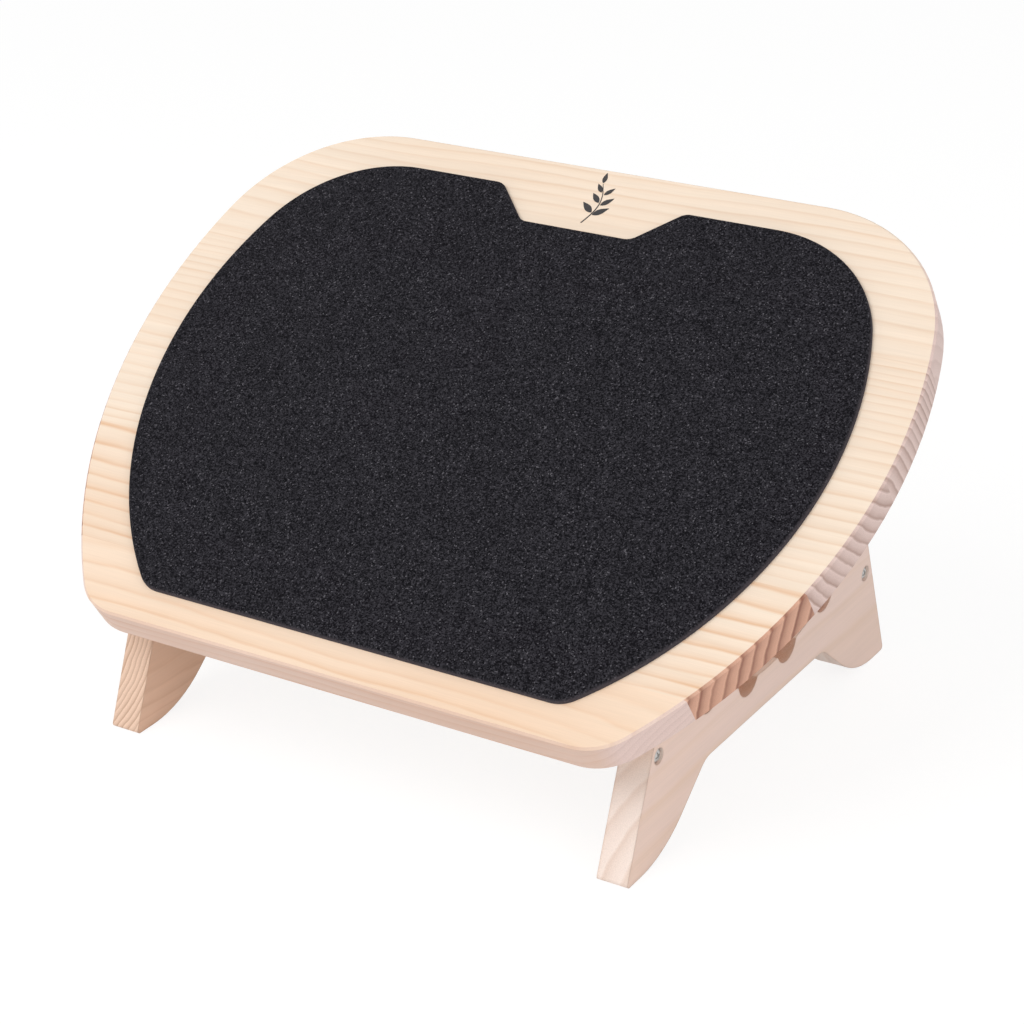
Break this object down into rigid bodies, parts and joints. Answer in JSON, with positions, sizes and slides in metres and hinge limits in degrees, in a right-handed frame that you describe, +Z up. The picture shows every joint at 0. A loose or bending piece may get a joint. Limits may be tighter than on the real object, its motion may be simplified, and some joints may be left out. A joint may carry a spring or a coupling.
{
  "type": "tilting footrest",
  "caption": "Wooden under-desk footrest: shaped pine board with a foam pad, tilted on side rails and held by a swinging prop whose round bar drops into seats.",
  "frame": {"origin": "middle of the whole object's footprint on the floor", "axes": "+X across the board to the right, +Y to the back (the high edge of the board), +Z up"},
  "size_m": [0.4744, 0.3246, 0.2766],
  "materials": {
    "board_wood": "smooth sanded pine, matt clear finish",
    "frame_wood": "smooth sanded pine, matt clear finish",
    "foam": "fine grained black foam, matt",
    "zinc": "bright zinc plated steel"
  },
  "bodies": {
    "base": {"left_rail": "frame_wood", "right_rail": "frame_wood", "rear_cross_bar": "frame_wood", "cross_bar_screws": "zinc"},
    "deck": {"board_plank_1": "board_wood", "board_plank_2": "board_wood", "board_plank_3": "board_wood", "board_plank_4": "board_wood", "board_plank_5": "board_wood", "foam_pad": "foam", "left_batten": "frame_wood", "right_batten": "frame_wood", "batten_screws": "zinc", "pivot_screws": "zinc", "pivot_washers": "zinc", "prop_hinge_screws": "zinc", "prop_washers": "zinc"},
    "prop": {"left_prop_arm": "frame_wood", "right_prop_arm": "frame_wood", "prop_bar": "frame_wood", "prop_bar_pins": "zinc"}
  },
  "joints": [
    {"name": "deck_tilt", "type": "hinge", "parent": "base", "child": "deck", "pos_m": [0, -0.11127, 0.0616], "axis": [1, 0, 0], "range_deg": [0, 46]},
    {"name": "support_swing", "type": "hinge", "parent": "deck", "child": "prop", "pos_m": [0, 0.09899, 0.21878], "axis": [1, 0, 0], "range_deg": [-46, 0]}
  ],
  "couplings": [
    {"joint": "support_swing", "follows": "deck_tilt", "ratio": -1}
  ]
}
